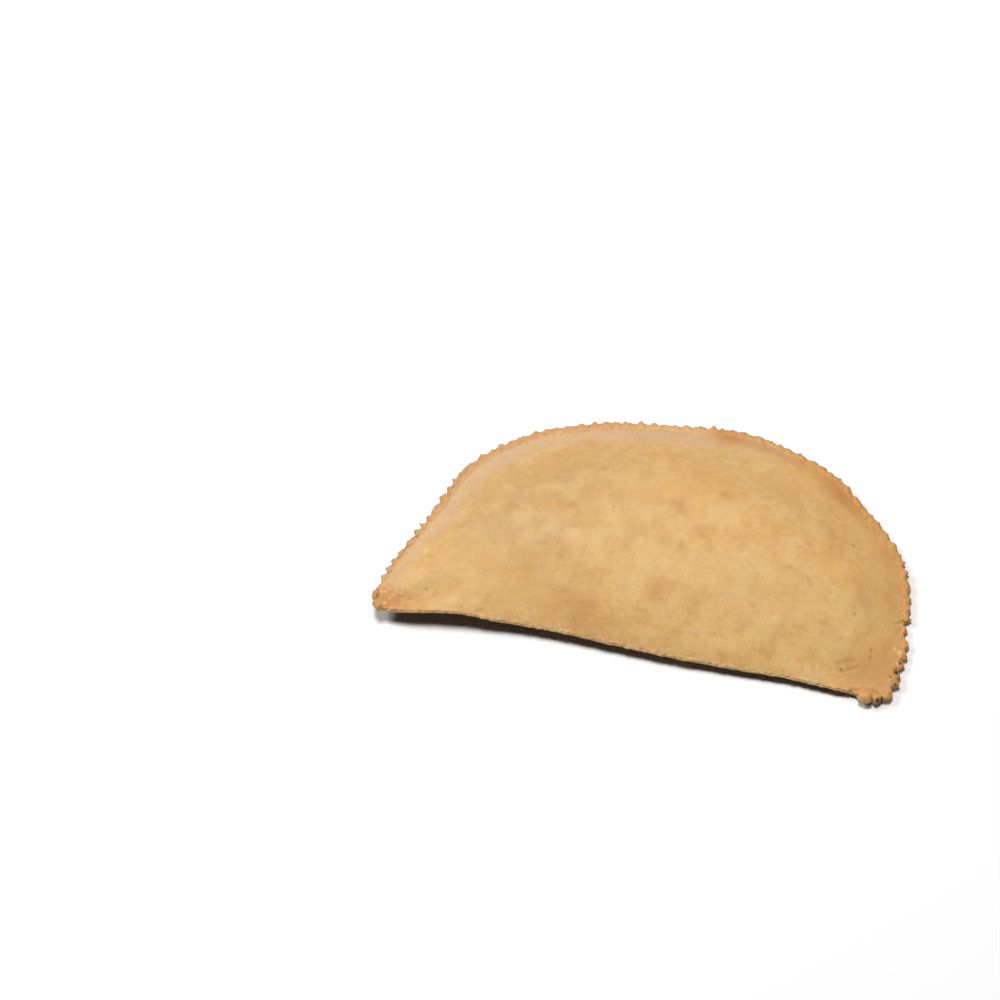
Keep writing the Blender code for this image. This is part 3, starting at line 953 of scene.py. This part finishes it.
def edge_tones(surface, patchy):
    """The seam, the cut teeth, the torn lip with painted light, the crumbs, the creases of the tips with
    painted shade, and the underside, browned and darkened as painted shade.
    """
    plan, depths, sides = surface.points[:, :2], surface.depths, surface.sides
    seam_at = seam_zone(surface.turns)
    crumbly = left_crumbs(plan)
    specks = noise_at(surface.points, *SPECKS)
    lip = on_fold(surface) * bell(sides - 0.10, 0.50) * (depths < FOLD_RADIUS)
    return (
        (ORANGE, 0.45 * seam_at * falling(depths, 2.2, 1.4)),
        (BROWN, 0.65 * seam_at * bell(depths - GROOVE_PLACE, 0.5) * patchy),
        (BROWN, 0.40 * (1.0 - on_fold(surface)) * falling(depths, 0.6, 2.2) * mix(0.5, 1.0, patchy)),
        (BROWN, 0.75 * crumbly * rising(specks, 0.15, 0.35)),
        # Painted light: the lip's lower half, which the lamps leave in shade, made as pale as the dough's
        # torn inside.
        (TORN_DOUGH_AND_HIGHLIGHT, 0.80 * lip),
        (TORN_DOUGH_AND_HIGHLIGHT, 0.60 * crumbly * rising(-specks, 0.25, 0.35)),
        # A reddish, darker tone in the creases: partly the crust's colour, partly painted shade, stronger
        # where a crease is deeper.
        (ORANGE, np.max(crease_depths(plan), axis=0)),
        (TORN_DOUGH_AND_HIGHLIGHT, 0.65 * crumbs_at(plan)),
        # Baked brown and painted shade: the underside made darker, so that the gap under the fold reads as
        # deep shadow.
        (BAKED_AND_SHADED_UNDERSIDE, falling(sides, -0.80, 0.35)),
    )


def crumbs_at(plan):
    """Where the crumbs at the right tip are, from 0 to 1."""
    return sum(bell(distance_to(plan, crumb), crumb.radius) for crumb in CRUMBS).clip(0.0, 1.0)


def char_at(plan):
    """How burnt the crust is at plan points, from 0 to 1."""
    strength = np.zeros(len(plan))
    for bubble in BURST_BUBBLES:
        charred = BUBBLE_CHAR_STRENGTH * bell(distance_to(plan, bubble), BUBBLE_CHAR_SHARE * bubble.radius)
        strength = np.maximum(strength, charred)
    for place in SCORCHED_DOTS:
        charred = SCORCHED_DOT_STRENGTH * bell(distance_to(plan, place), SCORCHED_DOT_RADIUS)
        strength = np.maximum(strength, charred)
    return np.clip(strength, 0.0, 1.0)


def crust_colours(surface):
    """The colour of each point of the crust."""
    points, plan = surface.points, surface.points[:, :2]
    warped = shifted(points, WARP)
    patchy = 0.5 + 0.5 * np.clip(1.6 * noise_at(points, *PATCHES), -1.0, 1.0)
    colour = np.tile(DOUGH, (len(points), 1))
    for tone, strength in (
        *crust_tones(points, warped),
        *band_tones(surface, patchy),
        *browned_tones(warped),
        *edge_tones(surface, patchy),
        (CHAR, char_at(plan)),
    ):
        colour = mix(colour, np.array(tone), strength[:, None])
    return colour


# ------------------------------------------------------------------------------------------------
# The crust's mesh
# ------------------------------------------------------------------------------------------------


def crust_mesh(surface):
    """The form as a mesh, before its relief."""
    mesh = bpy.data.meshes.new("panzerotto_crust")
    mesh.from_pydata((surface.points * MM).tolist(), [], [tuple(map(int, face)) for face in surface.faces])
    bm = bmesh.new()
    bm.from_mesh(mesh)
    caps = [face for face in bm.faces if len(face.verts) > 4]
    bmesh.ops.triangulate(bm, faces=caps, ngon_method="BEAUTY")
    bmesh.ops.recalc_face_normals(bm, faces=bm.faces)
    bm.to_mesh(mesh)
    bm.free()
    return mesh


def place_on(points, low, high):
    """Moves the points so that their box has its middle over the solid's, and its foot on the solid's."""
    own_low, own_high = points.min(0), points.max(0)
    low, high = np.array(low) / MM, np.array(high) / MM
    middle = (low + high - own_low - own_high) / 2.0
    return points + (middle[0], middle[1], low[2] - own_low[2])


def finish_mesh(mesh, surface, low, high):
    """Adds the relief and the colours, and puts the mesh where the solid is."""
    raised = surface.points + push_directions(mesh, surface) * relief(surface)[:, None]
    raised[:, 2] = np.maximum(raised[:, 2], 0.0)
    raised = place_on(raised, low, high) * MM
    mesh.vertices.foreach_set("co", raised.ravel())
    colours = mesh.color_attributes.new("crust_colour", "FLOAT_COLOR", "POINT")
    opaque = np.column_stack([crust_colours(surface), np.ones(len(raised))])
    colours.data.foreach_set("color", opaque.ravel())
    mesh.shade_smooth()
    mesh.update()


# ------------------------------------------------------------------------------------------------
# The crust's material
# ------------------------------------------------------------------------------------------------


class Nodes:
    """Short calls for building a material's node tree."""

    def __init__(self, tree):
        self.tree = tree

    def add(self, kind, **settings):
        node = self.tree.nodes.new(kind)
        for name, value in settings.items():
            setattr(node, name, value)
        return node

    def link(self, source, target):
        self.tree.links.new(source, target)

    def fill(self, socket, value):
        """Links an output to the socket, or sets the socket to a plain colour or number."""
        if isinstance(value, bpy.types.NodeSocket):
            self.link(value, socket)
        elif isinstance(value, tuple):
            socket.default_value = (*value, 1.0)
        else:
            socket.default_value = value

    def noise(self, place, size, detail, roughness):
        """Noise from 0 to 1 whose features have the given size."""
        node = self.add("ShaderNodeTexNoise")
        node.inputs["Scale"].default_value = 1.0 / (size * MM)
        node.inputs["Detail"].default_value = detail
        node.inputs["Roughness"].default_value = roughness
        self.link(place, node.inputs["Vector"])
        return node.outputs["Fac"]

    def remap(self, value, limits, new_limits=(0.0, 1.0)):
        node = self.add("ShaderNodeMapRange", clamp=True)
        for name, limit in zip(("From Min", "From Max", "To Min", "To Max"), (*limits, *new_limits)):
            node.inputs[name].default_value = limit
        self.link(value, node.inputs["Value"])
        return node.outputs["Result"]

    def mix_colour(self, factor, first, second, blend="MIX"):
        """Mixes two colours. Each is an output or a plain colour, and the factor an output or a number."""
        node = self.add("ShaderNodeMix", data_type="RGBA", blend_type=blend)
        for name, value in (("Factor", factor), ("A", first), ("B", second)):
            self.fill(node.inputs[name], value)
        return node.outputs["Result"]

    def tint(self, colour, field, tints):
        """Multiplies a colour by a tint that a noise picks between the two given."""
        picked = self.mix_colour(self.remap(field, NOISE_LIMITS), *tints)
        return self.mix_colour(1.0, colour, picked, "MULTIPLY")


def make_material():
    material = bpy.data.materials.new("baked_crust")
    material.use_nodes = True
    nodes = Nodes(material.node_tree)
    shader = material.node_tree.nodes["Principled BSDF"]
    place = nodes.add("ShaderNodeTexCoord").outputs["Object"]

    painted = nodes.add("ShaderNodeAttribute", attribute_name="crust_colour").outputs["Color"]
    colour = nodes.tint(painted, nodes.noise(place, *HUE_NOISE), HUE_TINTS)
    colour = nodes.tint(colour, nodes.noise(place, *GRAIN_NOISE), GRAIN_TINTS)
    specks = nodes.remap(nodes.noise(place, *SPECK_NOISE), SPECK_LIMITS, (0.0, SPECK_STRENGTH))
    nodes.link(nodes.mix_colour(specks, colour, BROWN), shader.inputs["Base Color"])

    roughness = nodes.remap(nodes.noise(place, *ROUGHNESS_NOISE), NOISE_LIMITS, ROUGHNESS)
    nodes.link(roughness, shader.inputs["Roughness"])
    shader.inputs["Specular IOR Level"].default_value = SPECULAR

    bump = nodes.add("ShaderNodeBump")
    bump.inputs["Strength"].default_value = BUMP_STRENGTH
    bump.inputs["Distance"].default_value = BUMP_DISTANCE * MM
    nodes.link(nodes.noise(place, *BUMP_NOISE), bump.inputs["Height"])
    nodes.link(bump.outputs["Normal"], shader.inputs["Normal"])
    return material


# ------------------------------------------------------------------------------------------------
# Scene
# ------------------------------------------------------------------------------------------------


def add_object(name, data):
    made = bpy.data.objects.new(name, data)
    bpy.context.scene.collection.objects.link(made)
    return made


def make_crust():
    surface = crust_surface()
    mesh = crust_mesh(surface)
    finish_mesh(mesh, surface, *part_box("panzerotto"))
    mesh.materials.append(make_material())
    return add_object("crust", mesh)


def make_floor():
    mesh = bpy.data.meshes.new("floor")
    half = FLOOR_SIZE / 2.0
    corners = [(-half, -half), (half, -half), (half, half), (-half, half)]
    mesh.from_pydata([(x, y, -FLOOR_DROP) for x, y in corners], [], [(0, 1, 2, 3)])
    material = bpy.data.materials.new("white_table")
    material.use_nodes = True
    shader = material.node_tree.nodes["Principled BSDF"]
    shader.inputs["Base Color"].default_value = (*FLOOR_COLOUR, 1.0)
    shader.inputs["Roughness"].default_value = FLOOR_ROUGHNESS
    shader.inputs["Specular IOR Level"].default_value = 0.0
    mesh.materials.append(material)
    return add_object("floor", mesh)


def direction(azimuth, elevation):
    """The unit vector from the middle towards an azimuth and elevation."""
    a, e = math.radians(azimuth), math.radians(elevation)
    return Vector((math.sin(a) * math.cos(e), -math.cos(a) * math.cos(e), math.sin(e)))


def make_camera():
    back = direction(CAMERA_AZIMUTH, CAMERA_ELEVATION)
    level = Vector((math.cos(math.radians(CAMERA_AZIMUTH)), math.sin(math.radians(CAMERA_AZIMUTH)), 0.0))
    right = Matrix.Rotation(math.radians(CAMERA_ROLL), 3, back) @ level
    up = back.cross(right)
    data = bpy.data.cameras.new("camera")
    data.angle = math.radians(CAMERA_FIELD)
    camera = add_object("camera", data)
    place = Vector(CAMERA_TARGET) + back * CAMERA_DISTANCE
    camera.matrix_world = Matrix.Translation(place) @ Matrix((right, up, back)).transposed().to_4x4()
    bpy.context.scene.camera = camera


def make_world():
    world = bpy.data.worlds.new("studio")
    world.use_nodes = True
    background = world.node_tree.nodes["Background"]
    background.inputs["Color"].default_value = (*WORLD_COLOUR, 1.0)
    background.inputs["Strength"].default_value = WORLD_STRENGTH
    bpy.context.scene.world = world


def add_softbox(softbox):
    """A square, white light that faces the middle."""
    data = bpy.data.lights.new(softbox.name, "AREA")
    data.shape = "SQUARE"
    data.size = softbox.size
    data.energy = softbox.power
    light = add_object(softbox.name, data)
    back = direction(softbox.azimuth, softbox.elevation)
    light.location = back * SOFTBOX_DISTANCE
    light.rotation_euler = back.to_track_quat("Z", "Y").to_euler()


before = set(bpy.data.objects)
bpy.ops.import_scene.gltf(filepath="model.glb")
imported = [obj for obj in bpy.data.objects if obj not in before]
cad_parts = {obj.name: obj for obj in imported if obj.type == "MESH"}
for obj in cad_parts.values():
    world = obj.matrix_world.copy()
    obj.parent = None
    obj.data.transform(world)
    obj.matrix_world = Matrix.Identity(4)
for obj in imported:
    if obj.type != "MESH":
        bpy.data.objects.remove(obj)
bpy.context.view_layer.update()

crust = make_crust()
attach(crust, "root")
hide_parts("panzerotto")

make_floor()
make_camera()
make_world()
for softbox in SOFTBOXES:
    add_softbox(softbox)
bpy.context.scene.view_settings.view_transform = "Standard"
